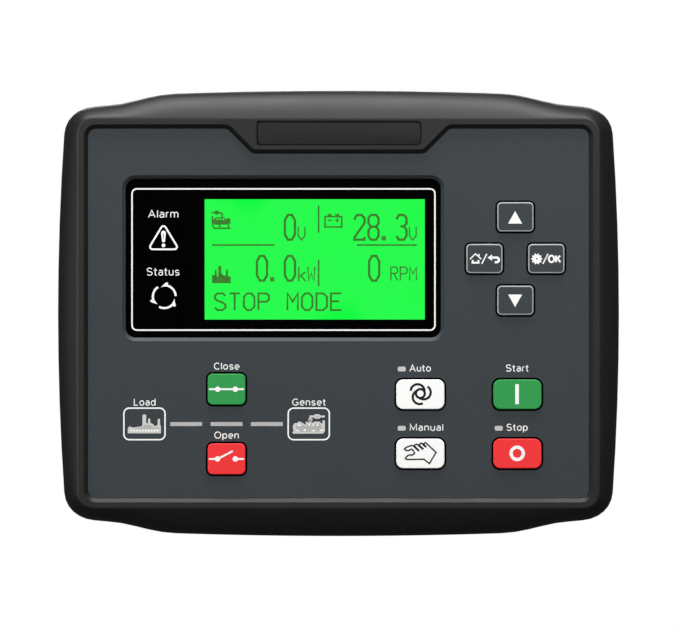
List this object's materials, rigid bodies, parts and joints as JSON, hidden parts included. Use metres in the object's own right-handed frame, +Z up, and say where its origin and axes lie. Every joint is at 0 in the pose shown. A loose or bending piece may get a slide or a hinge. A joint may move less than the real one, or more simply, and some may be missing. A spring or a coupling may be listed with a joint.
{
  "type": "genset controller",
  "caption": "Panel-mounted generator set controller with a pillowed black bezel, green backlit display, push keys, stepped rear housing and plug-in terminals.",
  "frame": {"origin": "centre of the panel seat, the plane where the gasket meets the door", "axes": "+X to the right and +Z up as seen from the front, +Y backwards through the door"},
  "size_m": [0.209, 0.045, 0.166],
  "materials": {
    "bezel_plastic": "moulded, fine satin texture",
    "gasket_rubber": "die-cut foam rubber",
    "panel_plastic": "fine matt film",
    "blank_plastic": "fine matt",
    "window_acrylic": "polished, masked black round the picture",
    "plated_steel": "plated",
    "display_green": "lit from behind",
    "diffuser_white": "plain",
    "key_grey": "moulded silicone, satin",
    "key_white": "moulded silicone, satin",
    "key_green": "moulded silicone, satin",
    "key_red": "moulded silicone, satin",
    "lamp_plastic": "clear, frosted at the face",
    "board_laminate": "solder mask",
    "led_chip": "clear cap",
    "contact_gold": "gold flash",
    "chip_black": "moulded",
    "relay_case": "moulded",
    "transformer_case": "moulded, filled",
    "capacitor_sleeve": "shrunk sleeve",
    "terminal_green": "moulded polyamide",
    "housing_plastic": "moulded, fine spark texture"
  },
  "bodies": {
    "case": {"bezel": "bezel_plastic", "panel_gasket": "gasket_rubber", "keypad_panel": "panel_plastic", "blank_plate": "blank_plastic", "display_window": "window_acrylic", "lcd_frame": "plated_steel", "lcd_glass": "display_green", "lcd_backlight": "diffuser_white", "lamp_auto": "lamp_plastic", "lamp_manual": "lamp_plastic", "lamp_stop": "lamp_plastic", "lamp_load": "lamp_plastic", "lamp_breaker": "lamp_plastic", "lamp_genset": "lamp_plastic", "lamp_alarm": "lamp_plastic", "lamp_status": "lamp_plastic", "display_board": "board_laminate", "indicator_leds": "led_chip", "key_contacts": "contact_gold", "processor": "chip_black", "display_board_screws": "plated_steel", "power_board": "board_laminate", "relay_1": "relay_case", "relay_2": "relay_case", "relay_3": "relay_case", "relay_4": "relay_case", "relay_5": "relay_case", "relay_6": "relay_case", "clock_battery": "plated_steel", "board_link": "chip_black", "supply_capacitors": "capacitor_sleeve", "current_transformer_1": "transformer_case", "current_transformer_2": "transformer_case", "current_transformer_3": "transformer_case", "output_header": "terminal_green", "sensing_header": "terminal_green", "supply_header": "terminal_green", "input_header": "terminal_green", "output_plug": "terminal_green", "sensing_plug": "terminal_green", "supply_plug": "terminal_green", "input_plug": "terminal_green", "header_pins": "contact_gold", "terminal_screws": "plated_steel", "usb_shell": "plated_steel", "usb_tongue": "diffuser_white", "rear_housing": "housing_plastic", "power_board_screws": "plated_steel", "housing_screws": "plated_steel"},
    "key_up": {"key_up": "key_grey"},
    "key_down": {"key_down": "key_grey"},
    "key_home": {"key_home": "key_grey"},
    "key_confirm": {"key_confirm": "key_grey"},
    "key_auto": {"key_auto": "key_white"},
    "key_manual": {"key_manual": "key_white"},
    "key_start": {"key_start": "key_green"},
    "key_stop": {"key_stop": "key_red"},
    "key_close": {"key_close": "key_green"},
    "key_open": {"key_open": "key_red"}
  },
  "joints": [
    {"name": "key_up_press", "type": "slide", "parent": "case", "child": "key_up", "axis": [0, 1, 0], "range_m": [0, 0.0008], "stiffness_N_per_m": 300},
    {"name": "key_down_press", "type": "slide", "parent": "case", "child": "key_down", "axis": [0, 1, 0], "range_m": [0, 0.0008], "stiffness_N_per_m": 300},
    {"name": "key_home_press", "type": "slide", "parent": "case", "child": "key_home", "axis": [0, 1, 0], "range_m": [0, 0.0008], "stiffness_N_per_m": 300},
    {"name": "key_confirm_press", "type": "slide", "parent": "case", "child": "key_confirm", "axis": [0, 1, 0], "range_m": [0, 0.0008], "stiffness_N_per_m": 300},
    {"name": "key_auto_press", "type": "slide", "parent": "case", "child": "key_auto", "axis": [0, 1, 0], "range_m": [0, 0.0008], "stiffness_N_per_m": 300},
    {"name": "key_manual_press", "type": "slide", "parent": "case", "child": "key_manual", "axis": [0, 1, 0], "range_m": [0, 0.0008], "stiffness_N_per_m": 300},
    {"name": "key_start_press", "type": "slide", "parent": "case", "child": "key_start", "axis": [0, 1, 0], "range_m": [0, 0.0008], "stiffness_N_per_m": 300},
    {"name": "key_stop_press", "type": "slide", "parent": "case", "child": "key_stop", "axis": [0, 1, 0], "range_m": [0, 0.0008], "stiffness_N_per_m": 300},
    {"name": "key_close_press", "type": "slide", "parent": "case", "child": "key_close", "axis": [0, 1, 0], "range_m": [0, 0.0008], "stiffness_N_per_m": 300},
    {"name": "key_open_press", "type": "slide", "parent": "case", "child": "key_open", "axis": [0, 1, 0], "range_m": [0, 0.0008], "stiffness_N_per_m": 300}
  ]
}
